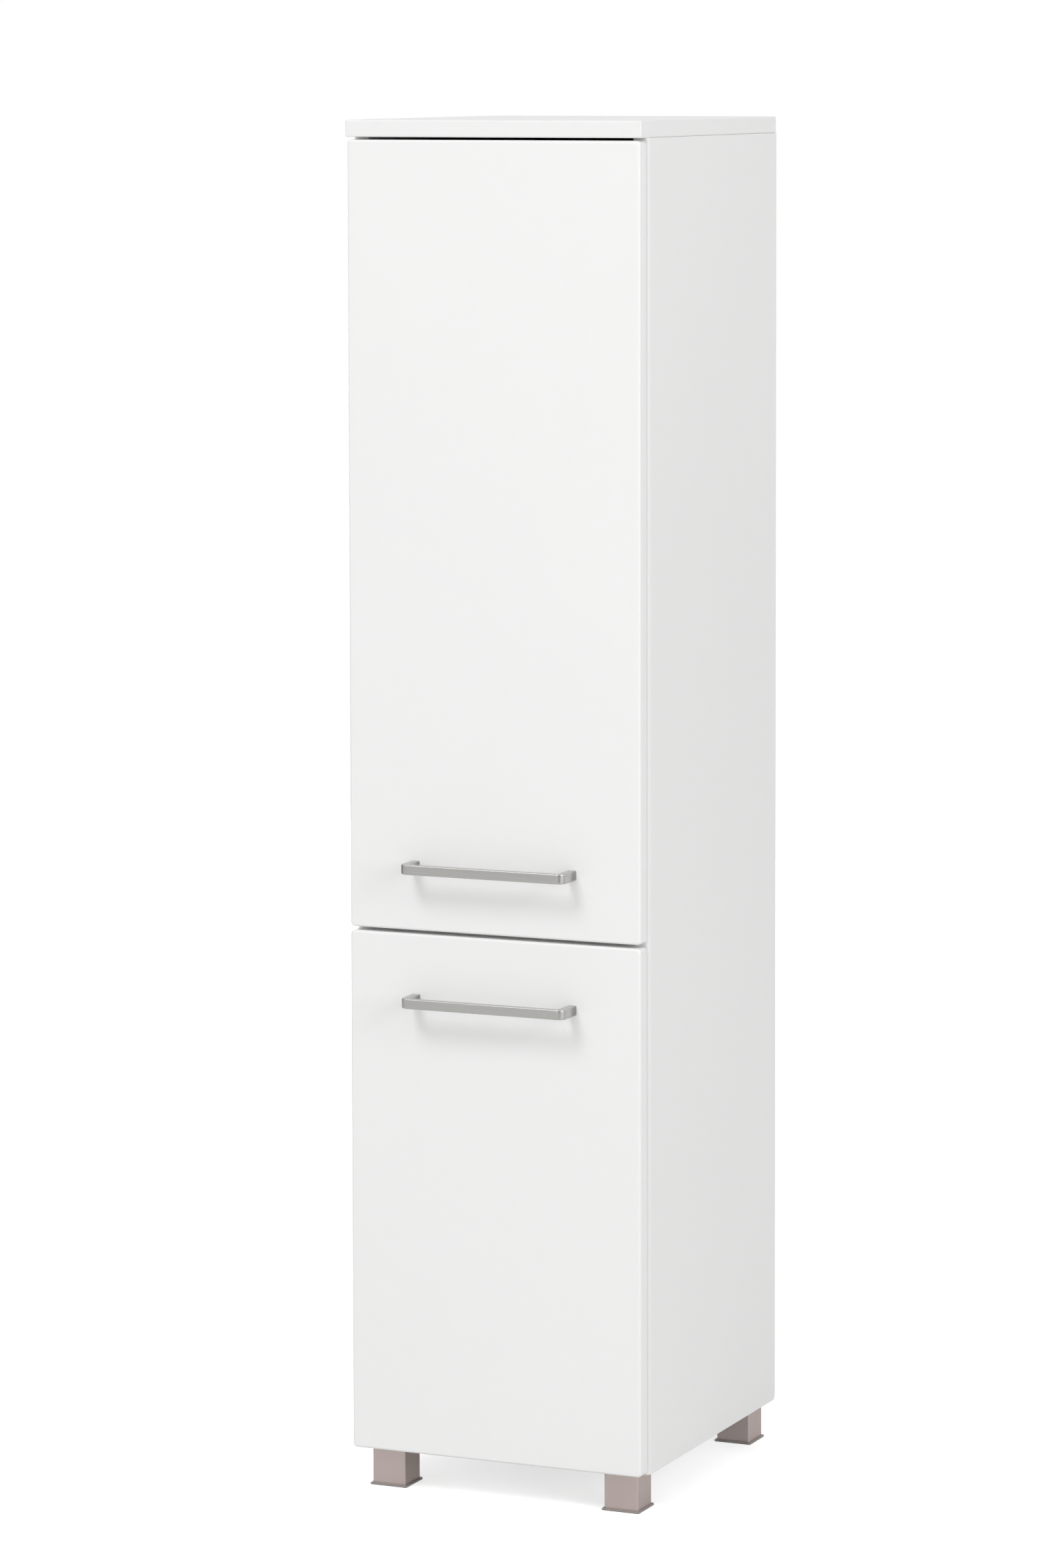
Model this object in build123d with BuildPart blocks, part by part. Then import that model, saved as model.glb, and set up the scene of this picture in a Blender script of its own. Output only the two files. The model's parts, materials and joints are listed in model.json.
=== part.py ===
from build123d import *
import os

# Mid-height bathroom cabinet. Millimetres, X to the right, Y to the back, Z up.
# The origin is on the floor, under the middle of the whole object's box.

os.makedirs("parts", exist_ok=True)

# Driving dimensions of the cabinet
width = 300
height = 1300
body_depth = 340
handle_reach = 30
foot_height = 38
board = 16
back_board = 3

# Air gaps around the doors
reveal_behind_doors = 2
reveal_under_top = 2.5
reveal_between_doors = 3.5
reveal_at_sides = 1.5
door_lift = 1.5
lower_door_height = 497

# Rounding of the boards
door_corner = 4
door_front_round = 2.5
door_back_round = 1
side_front_round = 4
side_inner_round = 1
side_back_corner = 5
board_edge = 1
top_edge = 1.5
top_back_corner = 3

# Planes that follow from the driving dimensions
handle_front = -(body_depth + handle_reach) / 2
door_front = handle_front + handle_reach
door_back = door_front + board
carcass_front = door_back + reveal_behind_doors
back = door_front + body_depth
carcass_bottom = foot_height
top_under = height - board
inside = width - 2 * board
door_width = width - 2 * reveal_at_sides
bottom_top = carcass_bottom + board

lower_door_bottom = carcass_bottom + door_lift
lower_door_top = lower_door_bottom + lower_door_height
upper_door_bottom = lower_door_top + reveal_between_doors
upper_door_top = top_under - reveal_under_top
middle_centre = (lower_door_top + upper_door_bottom) / 2
middle_under = middle_centre - board / 2
middle_over = middle_centre + board / 2
board_centres = [carcass_bottom + board / 2, middle_centre]

# Back panel in its groove
wall_recess = 12
groove_play = 0.1
groove_depth = 5
groove_gap = 0.5
shelf_front_gap = 1
back_panel_front = back - wall_recess
shelf_front = carcass_front + shelf_front_gap

# Rows of holes along the depth, and the 32 mm pitch of the shelf holes
row_setback = 37
pitch = 32
front_row = carcass_front + row_setback
rear_row = back_panel_front - row_setback
rows = [front_row, rear_row]
dowel_rows = [front_row + pitch, rear_row - pitch]

# Carcass fittings
hole_play = 0.05
cam_radius = 7.5
cam_depth = 12.5
cam_distance = 34
bolt_tip_depth = 11
bolt_tip_radius = 2.5
bolt_radius = 3
bolt_hole_radius = 4
bolt_tip_spare = 0.5
bolt_past_cam = 1.5
cam_spare = 0.1
cam_slot_length = 9
cam_slot_width = 1.6
cam_slot_depth = 2
dowel_radius = 4
dowel_in_face = 11.5
dowel_in_end = 18.5
dowel_spare = 0.5
cap_radius = 8.5
cap_height = 1

# Adjustable shelves and their pins
shelf_play = 0.75
shelf_setback = 7
shelf_back_gap = 2
pin_radius = 2.5
pin_head_radius = 3.5
pin_in_side = 9
pin_hole_depth = 10
pin_reach = 8
pin_flat_height = 4
pin_flat_margin = 20
holes_each_side = 2
upper_space = top_under - middle_over
lower_space = middle_under - bottom_top
upper_shelf_count = 2
upper_step = (upper_space - upper_shelf_count * board) / (upper_shelf_count + 1)
shelf_unders = {
    "adjustable_shelf_upper_low": middle_over + upper_step,
    "adjustable_shelf_upper_high": middle_over + 2 * upper_step + board,
    "adjustable_shelf_lower": bottom_top + (lower_space - board) / 2,
}
pin_heights = [under - pin_radius for under in shelf_unders.values()]

# Handles
handle_length = 168
handle_spacing = 160
handle_height = 9.5
handle_bar = 6
handle_post = 8
handle_corner = 6.5
handle_inner_corner = 2.5
handle_edge = 1.2
handle_inset = 61.5
handle_screw_radius = 2
handle_screw_depth = 10
handle_hole_depth = 12
handle_hole_spare = 0.2
handle_screw_head_radius = 4
handle_screw_head_height = 1.8
match_tolerance = 0.1
upper_handle_z = upper_door_bottom + handle_inset
lower_handle_z = lower_door_top - handle_inset

# Soft stops on the doors' closing side
bumper_inset = 20
bumper_from_side = 9.5
bumper_radius = 4
bumper_spare = 0.3
bumper_round = 1

# Concealed hinges on the left side, seen from above
hinge_inset = 100
lower_hinges = [lower_door_bottom + hinge_inset, lower_door_top - hinge_inset]
upper_hinges = [
    upper_door_bottom + hinge_inset,
    (upper_door_bottom + upper_door_top) / 2,
    upper_door_top - hinge_inset,
]
side_face = -inside / 2
cup_inset = 22.5
cup_x = -door_width / 2 + cup_inset
cup_radius = 17.5
cup_wall = 0.6
cup_depth = 11.9
cup_floor = 0.9
cup_spare = 0.2
flange = 1
flange_lip = 0.7
wing_offset = 9.5
wing_width = 13
wing_length = 58
wing_corner = 5
cup_screw_spacing = 45
cup_screw_radius = 1.75
cup_screw_length = 12
cup_screw_head_height = 1.6
cup_hole_radius = 1.8
cup_hole_depth = 11.5
lever_pivot = (-115.2, -139.7)
lever_bend = (-133.3, -149.2)
lever_end = (-139.3, -145.5)
lever_bend_radius = 6
lever_plate = 1.8
lever_height = 8
lever_eye = 2.4
lever_tip = 2
hinge_pin_radius = 1.25
plate_base = 2
plate_shift = 5
plate_wing_width = 16
plate_wing_length = 50
plate_wing_corner = 5
plate_body_width = 22
plate_body_length = 46
plate_body_corner = 4
plate_screw_bite = 11
plate_hole_depth = 12
rail_height = 9
rail_width = 10
rail_length = 38
rail_corner = 2
arm_wall = 1.2
arm_height = 13
arm_stand = 14
arm_top = side_face + arm_stand
arm_nose = 3.5
arm_back = -70
arm_bend = -112
arm_bend_length = 4
mouth_start = -126
mouth_end = -68
mouth_width = 8
mouth_shift = 3
nose_start = -133
nose_mouth_width = 20
nose_mouth_length = 14
plate_screw_spacing = 32
arm_screw_y = -92
arm_screw_length = 9
arm_screw_head_radius = 3
arm_screw_head_height = 1.5
arm_hole_depth = 4

# Wall brackets
bracket_spacing = 180
bracket_width = 20
bracket_leg = 30
bracket_plate = 2
bracket_hole_radius = 3
bracket_hole_drop = 18
bracket_screw_bite = 10
bracket_pilot_depth = 11

# Feet
foot_x = 120
foot_front_inset = 19
foot_back_inset = 20
foot_front_y = carcass_front + foot_front_inset
foot_back_y = back - foot_back_inset
leg_size = 34
leg_wall = 2
leg_cap = 3
leg_edge = 1.5
pad_size = 38
pad_height = 2
foot_plate = 2
plate_ear = 26
foot_plate_corner = 3
stem_radius = 4
stem_top = 29
stem_spare = 1
stem_guide_radius = 8
stem_guide_bottom = 8
ear_screw_half = 9
ear_screw_share = 0.7
foot_screw_bite = 9
foot_pilot_depth = 10
feet = {
    "front_left": (-foot_x, foot_front_y, 1),
    "front_right": (foot_x, foot_front_y, 1),
    "back_left": (-foot_x, foot_back_y, -1),
    "back_right": (foot_x, foot_back_y, -1),
}
ear_reach = leg_size / 2 + plate_ear * ear_screw_share

# Screws
screw_radius = 2
screw_head_radius = 3.5
screw_head_height = 2
recess_width = 0.9
recess_share = 1.2
recess_depth_share = 0.6
screw_play = 0.1


def save(piece, name):
    """Label one finished piece and write its STEP file."""
    piece.part.label = name
    export_step(piece.part, f"parts/{name}.step")


def inward(x, y, z):
    """A seat on the left side panel's inner face, facing into the cabinet."""
    return Plane(origin=(x, y, z), x_dir=(0, 1, 0), z_dir=(1, 0, 0))


def backward(x, y, z):
    """A seat that faces the back of the cabinet."""
    return Plane(origin=(x, y, z), x_dir=(-1, 0, 0), z_dir=(0, 1, 0))


def downward(x, y, z):
    """A seat that faces the floor."""
    return Plane(origin=(x, y, z), x_dir=(1, 0, 0), z_dir=(0, 0, -1))


def screw_group(name, seats, shank_length, shank_radius=screw_radius,
                head_radius=screw_head_radius, head_height=screw_head_height):
    """Equal pan-head screws with a cross recess, one on each seat."""
    with BuildPart() as screws:
        with BuildSketch(*seats):
            Circle(head_radius)
        extrude(amount=head_height)
        with BuildSketch(*[seat.offset(head_height) for seat in seats]):
            Rectangle(head_radius * recess_share, recess_width)
            Rectangle(recess_width, head_radius * recess_share)
        extrude(amount=-head_height * recess_depth_share, mode=Mode.SUBTRACT)
        with BuildSketch(*seats):
            Circle(shank_radius)
        extrude(amount=-shank_length)
    save(screws, name)


def side_panel(name, side):
    """One side of the carcass: -1 is the left side and 1 the right."""
    outer = side * width / 2
    inner = side * inside / 2
    middle = (outer + inner) / 2
    last = -1 if side > 0 else 0
    first = 0 if side > 0 else -1
    shelf_holes = [
        (y, z + step * pitch)
        for y in rows
        for z in pin_heights
        for step in range(-holes_each_side, holes_each_side + 1)
    ]
    hinge_holes = [
        (front_row, z + half * plate_screw_spacing / 2)
        for z in lower_hinges + upper_hinges
        for half in (-1, 1)
    ]
    drillings = [
        (shelf_holes, pin_radius + hole_play, pin_hole_depth),
        ([(y, z) for y in rows for z in board_centres], bolt_tip_radius, bolt_tip_depth),
        ([(y, z) for y in dowel_rows for z in board_centres], dowel_radius,
         dowel_in_face + dowel_spare),
        ([(y, top_under - cam_distance) for y in rows], cam_radius, cam_depth),
    ]
    if side < 0:
        drillings.append((hinge_holes, screw_radius + hole_play, plate_hole_depth))
    with BuildPart() as panel:
        with BuildSketch(Plane.XY.offset(carcass_bottom)):
            with Locations((middle, (carcass_front + back) / 2)):
                Rectangle(board, back - carcass_front)
        extrude(amount=top_under - carcass_bottom)
        front_edges = panel.edges().filter_by(Axis.Z).group_by(Axis.Y)[0].sort_by(Axis.X)
        fillet(front_edges[last], radius=side_front_round)
        front_edges = panel.edges().filter_by(Axis.Z).group_by(Axis.Y)[0].sort_by(Axis.X)
        fillet(front_edges[first], radius=side_inner_round)
        low_edges = panel.edges().filter_by(Axis.X).group_by(Axis.Z)[0]
        fillet(low_edges.sort_by(Axis.Y)[-1], radius=side_back_corner)
        back_edges = panel.edges().filter_by(Axis.Z).group_by(Axis.Y)[-1]
        fillet(back_edges, radius=board_edge)
        for spots, radius, depth in drillings:
            with BuildSketch(Plane.YZ.offset(inner)):
                with Locations(*spots):
                    Circle(radius)
            extrude(amount=side * depth, mode=Mode.SUBTRACT)
        with BuildSketch(Plane.XY.offset(top_under)):
            with Locations(*[(middle, y) for y in rows]):
                Circle(bolt_hole_radius)
        extrude(amount=-cam_distance, mode=Mode.SUBTRACT)
        with BuildSketch(Plane.XY.offset(top_under)):
            with Locations(*[(middle, y) for y in dowel_rows]):
                Circle(dowel_radius)
        extrude(amount=-(dowel_in_end + dowel_spare), mode=Mode.SUBTRACT)
        with BuildSketch(Plane.XY.offset(bottom_top - groove_depth)):
            with Locations((inner, back_panel_front + back_board / 2)):
                Rectangle(2 * groove_depth, back_board + 2 * groove_play)
        extrude(amount=top_under - bottom_top + groove_depth, mode=Mode.SUBTRACT)
    save(panel, name)


def fixed_board(name, under, back_edge):
    """A horizontal board between the sides, with its cam, bolt and dowel holes."""
    with BuildPart() as shelf:
        with BuildSketch(Plane.XY.offset(under)):
            with Locations((0, (shelf_front + back_edge) / 2)):
                Rectangle(inside, back_edge - shelf_front)
        extrude(amount=board)
        fillet(shelf.edges().filter_by(Axis.X).group_by(Axis.Y)[0], radius=board_edge)
        for side in (-1, 1):
            with BuildSketch(Plane.YZ.offset(side * inside / 2)):
                with Locations(*[(y, under + board / 2) for y in rows]):
                    Circle(bolt_hole_radius)
            extrude(amount=-side * cam_distance, mode=Mode.SUBTRACT)
            with BuildSketch(Plane.YZ.offset(side * inside / 2)):
                with Locations(*[(y, under + board / 2) for y in dowel_rows]):
                    Circle(dowel_radius)
            extrude(amount=-side * (dowel_in_end + dowel_spare), mode=Mode.SUBTRACT)
            with BuildSketch(Plane.XY.offset(under)):
                with Locations(*[(side * (inside / 2 - cam_distance), y) for y in rows]):
                    Circle(cam_radius)
            extrude(amount=cam_depth, mode=Mode.SUBTRACT)
        if back_edge > back_panel_front:
            with BuildSketch(Plane.XY.offset(under + board)):
                with Locations((0, back_panel_front + back_board / 2)):
                    Rectangle(inside, back_board + 2 * groove_play)
            extrude(amount=-groove_depth, mode=Mode.SUBTRACT)
            with BuildSketch(Plane.XY.offset(under)):
                with Locations(*foot_screw_spots):
                    Circle(screw_radius + hole_play)
            extrude(amount=foot_pilot_depth, mode=Mode.SUBTRACT)
    save(shelf, name)


def adjustable_shelf(name, under):
    """A loose shelf that rests on four pins."""
    front = carcass_front + shelf_setback
    shelf_back = back_panel_front - shelf_back_gap
    with BuildPart() as shelf:
        with BuildSketch(Plane.XY.offset(under)):
            with Locations((0, (front + shelf_back) / 2)):
                Rectangle(inside - 2 * shelf_play, shelf_back - front)
        extrude(amount=board)
        fillet(shelf.edges().filter_by(Axis.X).group_by(Axis.Y)[0], radius=board_edge)
    save(shelf, name)


def door_panel(name, low, high, hinge_heights, handle_z):
    """A full overlay door with cup recesses, pilot holes and handle holes."""
    inner_face = Plane(origin=(0, door_back, 0), x_dir=(1, 0, 0), z_dir=(0, -1, 0))
    wing_x = cup_x + wing_offset
    cup_spots = [(cup_x, z) for z in hinge_heights]
    pilot_spots = [
        (wing_x, z + half * cup_screw_spacing / 2)
        for z in hinge_heights
        for half in (-1, 1)
    ]
    handle_spots = [(half * handle_spacing / 2, handle_z) for half in (-1, 1)]
    drillings = [
        (cup_spots, cup_radius + hole_play, cup_depth + cup_spare),
        (pilot_spots, cup_hole_radius, cup_hole_depth),
        (handle_spots, handle_screw_radius + handle_hole_spare, board),
    ]
    with BuildPart() as door:
        with BuildSketch(inner_face):
            with Locations((0, (low + high) / 2)):
                RectangleRounded(door_width, high - low, door_corner)
        extrude(amount=board)
        fillet(door.faces().sort_by(Axis.Y)[0].edges(), radius=door_front_round)
        fillet(door.faces().sort_by(Axis.Y)[-1].edges(), radius=door_back_round)
        for spots, radius, depth in drillings:
            with BuildSketch(inner_face):
                with Locations(*spots):
                    Circle(radius)
            extrude(amount=depth, mode=Mode.SUBTRACT)
    save(door, name)


def handle(name, centre_z):
    """A flat bar handle: one bent bar with two posts and a blind thread in each."""
    middle_y = (handle_front + door_front) / 2
    inner_depth = handle_reach - handle_bar
    with BuildPart() as pull:
        with BuildSketch(Plane.XY.offset(centre_z - handle_height / 2)) as outline:
            with Locations((0, middle_y)):
                Rectangle(handle_length, handle_reach)
            fillet(outline.vertices().group_by(Axis.Y)[0], radius=handle_corner)
            with Locations((0, door_front - inner_depth / 2)):
                Rectangle(handle_length - 2 * handle_post, inner_depth, mode=Mode.SUBTRACT)
            inner_y = handle_front + handle_bar
            inner_corners = outline.vertices().filter_by_position(
                Axis.Y, inner_y - match_tolerance, inner_y + match_tolerance)
            fillet(inner_corners, radius=handle_inner_corner)
        extrude(amount=handle_height)
        rims = pull.edges().group_by(Axis.Z)
        fillet(rims[0] + rims[-1], radius=handle_edge)
        with BuildSketch(backward(0, door_front, centre_z)):
            with Locations(*[(half * handle_spacing / 2, 0) for half in (-1, 1)]):
                Circle(handle_screw_radius + hole_play)
        extrude(amount=-handle_hole_depth, mode=Mode.SUBTRACT)
    save(pull, name)


def bumpers(name, heights):
    """Soft round stops on the closing side of a door's back."""
    with BuildPart() as stops:
        with BuildSketch(*[backward(width / 2 - bumper_from_side, door_back, z) for z in heights]):
            Circle(bumper_radius)
        extrude(amount=reveal_behind_doors - bumper_spare)
        fillet(stops.faces().group_by(Axis.Y)[-1].edges(), radius=bumper_round)
    save(stops, name)


def hinge_cups(name, heights):
    """Pressed cups with their flanges, let into the back of a door."""
    with BuildPart() as cups:
        for z in heights:
            face = Plane(origin=(cup_x, door_back, z), x_dir=(1, 0, 0), z_dir=(0, -1, 0))
            with BuildSketch(face):
                Circle(cup_radius + flange_lip)
                with Locations((wing_offset, 0)):
                    RectangleRounded(wing_width, wing_length, wing_corner)
            extrude(amount=-flange)
            with BuildSketch(face):
                Circle(cup_radius)
            extrude(amount=cup_depth)
            with BuildSketch(face.offset(-flange)):
                Circle(cup_radius - cup_wall)
            extrude(amount=flange + cup_depth - cup_floor, mode=Mode.SUBTRACT)
            with BuildSketch(face.offset(-flange)):
                with Locations(*[(wing_offset, half * cup_screw_spacing / 2) for half in (-1, 1)]):
                    Circle(cup_hole_radius)
            extrude(amount=flange, mode=Mode.SUBTRACT)
    save(cups, name)


def hinge_plates(name, heights):
    """Mounting plates: a cross-shaped foot with a raised rail for the arm."""
    with BuildPart() as plates:
        for z in heights:
            face = inward(side_face, front_row, z)
            with BuildSketch(face):
                RectangleRounded(plate_wing_width, plate_wing_length, plate_wing_corner)
                with Locations((plate_shift, 0)):
                    RectangleRounded(plate_body_length, plate_body_width, plate_body_corner)
            extrude(amount=plate_base)
            with BuildSketch(face.offset(plate_base)):
                with Locations((plate_shift, 0)):
                    RectangleRounded(rail_length, rail_width, rail_corner)
            extrude(amount=rail_height)
            with BuildSketch(face):
                with Locations(*[(0, half * plate_screw_spacing / 2) for half in (-1, 1)]):
                    Circle(screw_radius + screw_play)
                with Locations((arm_screw_y - front_row, 0)):
                    Circle(screw_radius + hole_play)
            extrude(amount=plate_base + rail_height, mode=Mode.SUBTRACT)
    save(plates, name)


def arm_outline(plane, inset):
    """The arm seen from above, shrunk all round by the inset."""
    base_x = side_face + plate_base
    middle_x = (base_x + arm_top) / 2
    wide = arm_top - base_x - 2 * inset
    with BuildSketch(plane) as outline:
        with Locations(lever_pivot):
            Circle(arm_nose - inset)
        with Locations((middle_x, arm_bend)):
            Rectangle(wide, arm_bend_length)
        make_hull(outline.sketch.edges())
        with Locations((middle_x, (arm_bend + arm_back) / 2)):
            Rectangle(wide, arm_back - arm_bend - 2 * inset)
    return outline.sketch


def hinge_arms(name, heights):
    """Arms: channels open towards the side panel, whose two cheeks hold the lever's pin."""
    channel = arm_height - 2 * arm_wall
    base_x = side_face + plate_base
    with BuildPart() as arms:
        for z in heights:
            extrude(arm_outline(Plane.XY.offset(z - arm_height / 2), 0), amount=arm_height)
            inner_plane = Plane.XY.offset(z - channel / 2)
            extrude(arm_outline(inner_plane, arm_wall), amount=channel, mode=Mode.SUBTRACT)
            with BuildSketch(inner_plane):
                with Locations((base_x + mouth_shift, (mouth_start + mouth_end) / 2)):
                    Rectangle(mouth_width, mouth_end - mouth_start)
                with Locations((lever_pivot[0], nose_start - nose_mouth_length / 2)):
                    Rectangle(nose_mouth_width, nose_mouth_length)
            extrude(amount=channel, mode=Mode.SUBTRACT)
            with BuildSketch(Plane.XY.offset(z - arm_height / 2)):
                with Locations(lever_pivot):
                    Circle(hinge_pin_radius)
            extrude(amount=arm_height, mode=Mode.SUBTRACT)
            with BuildSketch(inward(arm_top, arm_screw_y, z)):
                Circle(screw_radius + hole_play)
            extrude(amount=-arm_hole_depth, mode=Mode.SUBTRACT)
    save(arms, name)


def hinge_pins(name, heights):
    """Pivot pins held by the arms' cheeks."""
    with BuildPart() as pins:
        for z in heights:
            with BuildSketch(Plane.XY.offset(z - arm_height / 2)):
                with Locations(lever_pivot):
                    Circle(hinge_pin_radius)
            extrude(amount=arm_height)
    save(pins, name)


def hinge_levers(name, heights):
    """Bent levers from the arm's pin into the cup, bowed clear of the cup's rim."""
    with BuildPart() as levers:
        for z in heights:
            with BuildSketch(Plane.XY.offset(z - lever_height / 2)):
                with BuildLine():
                    FilletPolyline(lever_pivot, lever_bend, lever_end, radius=lever_bend_radius)
                trace(line_width=lever_plate)
                with Locations(lever_pivot):
                    Circle(lever_eye)
                with Locations(lever_end):
                    Circle(lever_tip)
                with Locations(lever_pivot):
                    Circle(hinge_pin_radius + hole_play, mode=Mode.SUBTRACT)
            extrude(amount=lever_height)
    save(levers, name)


def foot(name, x, y, facing):
    """Leg, with its mounting plate and its height adjuster, at one corner."""
    side = 1 if x > 0 else -1
    with BuildPart() as leg:
        with BuildSketch(Plane.XY.offset(pad_height)):
            with Locations((x, y)):
                RectangleRounded(leg_size, leg_size, leg_edge)
        extrude(amount=carcass_bottom - foot_plate - pad_height)
        with BuildSketch(Plane.XY.offset(pad_height)):
            with Locations((x, y)):
                Rectangle(leg_size - 2 * leg_wall, leg_size - 2 * leg_wall)
        extrude(amount=carcass_bottom - foot_plate - pad_height - leg_cap, mode=Mode.SUBTRACT)
        with BuildSketch(Plane.XY.offset(stem_guide_bottom)):
            with Locations((x, y)):
                Circle(stem_guide_radius)
        extrude(amount=carcass_bottom - foot_plate - leg_cap - stem_guide_bottom)
        with BuildSketch(Plane.XY.offset(stem_guide_bottom)):
            with Locations((x, y)):
                Circle(stem_radius + hole_play)
        extrude(amount=stem_top + stem_spare - stem_guide_bottom, mode=Mode.SUBTRACT)
    save(leg, f"foot_leg_{name}")

    with BuildPart() as plate:
        with BuildSketch(Plane.XY.offset(carcass_bottom - foot_plate)):
            with Locations((x - side * plate_ear / 2, y)):
                RectangleRounded(leg_size + plate_ear, leg_size, foot_plate_corner)
            with Locations((x, y + facing * plate_ear / 2)):
                RectangleRounded(leg_size, leg_size + plate_ear, foot_plate_corner)
            with Locations(*ear_spots(x, y, facing)):
                Circle(screw_radius + screw_play, mode=Mode.SUBTRACT)
        extrude(amount=foot_plate)
    save(plate, f"foot_plate_{name}")

    with BuildPart() as adjuster:
        with BuildSketch(Plane.XY):
            with Locations((x, y)):
                RectangleRounded(pad_size, pad_size, leg_edge)
        extrude(amount=pad_height)
        with BuildSketch(Plane.XY.offset(pad_height)):
            with Locations((x, y)):
                Circle(stem_radius)
        extrude(amount=stem_top - pad_height)
    save(adjuster, f"foot_adjuster_{name}")


def ear_spots(x, y, facing):
    """The four screw places on the two ears of a foot's plate."""
    side = 1 if x > 0 else -1
    on_x_ear = [(x - side * ear_reach, y + half * ear_screw_half) for half in (-1, 1)]
    on_y_ear = [(x + half * ear_screw_half, y + facing * ear_reach) for half in (-1, 1)]
    return on_x_ear + on_y_ear


foot_screw_spots = [spot for x, y, facing in feet.values() for spot in ear_spots(x, y, facing)]

# Carcass boards
side_panel("side_panel_left", -1)
side_panel("side_panel_right", 1)
fixed_board("bottom_panel", carcass_bottom, back)
fixed_board("middle_shelf", middle_under, back_panel_front)
for shelf_name, shelf_under in shelf_unders.items():
    adjustable_shelf(shelf_name, shelf_under)

with BuildPart() as top_panel:
    with BuildSketch(Plane.XY.offset(top_under)):
        with Locations((0, (door_front + back) / 2)):
            Rectangle(width, body_depth)
    extrude(amount=board)
    back_corners = top_panel.edges().filter_by(Axis.Z).group_by(Axis.Y)[-1]
    fillet(back_corners, radius=top_back_corner)
    front_corners = top_panel.edges().filter_by(Axis.Z).group_by(Axis.Y)[0]
    fillet(front_corners, radius=board_edge)
    rims = top_panel.edges().group_by(Axis.Z)
    fillet(rims[0] + rims[-1], radius=top_edge)
    with BuildSketch(Plane.XY.offset(top_under)):
        with Locations(*[(side * (width - board) / 2, y) for side in (-1, 1) for y in rows]):
            Circle(bolt_tip_radius)
    extrude(amount=bolt_tip_depth, mode=Mode.SUBTRACT)
    with BuildSketch(Plane.XY.offset(top_under)):
        with Locations(*[(side * (width - board) / 2, y) for side in (-1, 1) for y in dowel_rows]):
            Circle(dowel_radius)
    extrude(amount=dowel_in_face + dowel_spare, mode=Mode.SUBTRACT)
    with BuildSketch(Plane.XY.offset(top_under)):
        with Locations((0, back_panel_front + back_board / 2)):
            Rectangle(inside + 2 * groove_depth, back_board + 2 * groove_play)
    extrude(amount=groove_depth, mode=Mode.SUBTRACT)
    with BuildSketch(Plane.XY.offset(top_under)):
        with Locations(*[(half * bracket_spacing / 2, back_panel_front - bracket_leg / 2)
                         for half in (-1, 1)]):
            Circle(screw_radius + hole_play)
    extrude(amount=bracket_pilot_depth, mode=Mode.SUBTRACT)
save(top_panel, "top_panel")

bracket_hole_z = top_under - bracket_hole_drop
with BuildPart() as back_panel:
    with BuildSketch(Plane.XY.offset(bottom_top - groove_depth + groove_gap)):
        with Locations((0, back_panel_front + back_board / 2)):
            Rectangle(inside + 2 * (groove_depth - groove_gap), back_board)
    extrude(amount=top_under - bottom_top + 2 * (groove_depth - groove_gap))
    with BuildSketch(Plane.XZ.offset(-back_panel_front)):
        with Locations(*[(half * bracket_spacing / 2, bracket_hole_z) for half in (-1, 1)]):
            Circle(bracket_hole_radius)
    extrude(amount=-back_board, mode=Mode.SUBTRACT)
save(back_panel, "back_panel")

# Dowels, bolts and cams that hold the boards together
dowel_length = dowel_in_face + dowel_in_end
with BuildPart() as wood_dowels:
    for side in (-1, 1):
        with BuildSketch(Plane.YZ.offset(side * (inside / 2 + dowel_in_face))):
            with Locations(*[(y, z) for y in dowel_rows for z in board_centres]):
                Circle(dowel_radius - hole_play)
        extrude(amount=-side * dowel_length)
        with BuildSketch(Plane.XY.offset(top_under + dowel_in_face)):
            with Locations(*[(side * (width - board) / 2, y) for y in dowel_rows]):
                Circle(dowel_radius - hole_play)
        extrude(amount=-dowel_length)
save(wood_dowels, "wood_dowels")

bolt_length = cam_distance - bolt_past_cam
with BuildPart() as cam_bolts:
    for side in (-1, 1):
        end_face = Plane.YZ.offset(side * inside / 2)
        with BuildSketch(end_face):
            with Locations(*[(y, z) for y in rows for z in board_centres]):
                Circle(bolt_tip_radius - hole_play)
        extrude(amount=side * (bolt_tip_depth - bolt_tip_spare))
        with BuildSketch(end_face):
            with Locations(*[(y, z) for y in rows for z in board_centres]):
                Circle(bolt_radius)
        extrude(amount=-side * bolt_length)
        with BuildSketch(Plane.XY.offset(top_under)):
            with Locations(*[(side * (width - board) / 2, y) for y in rows]):
                Circle(bolt_tip_radius - hole_play)
        extrude(amount=bolt_tip_depth - bolt_tip_spare)
        with BuildSketch(Plane.XY.offset(top_under)):
            with Locations(*[(side * (width - board) / 2, y) for y in rows]):
                Circle(bolt_radius)
        extrude(amount=-bolt_length)
save(cam_bolts, "cam_bolts")

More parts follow.
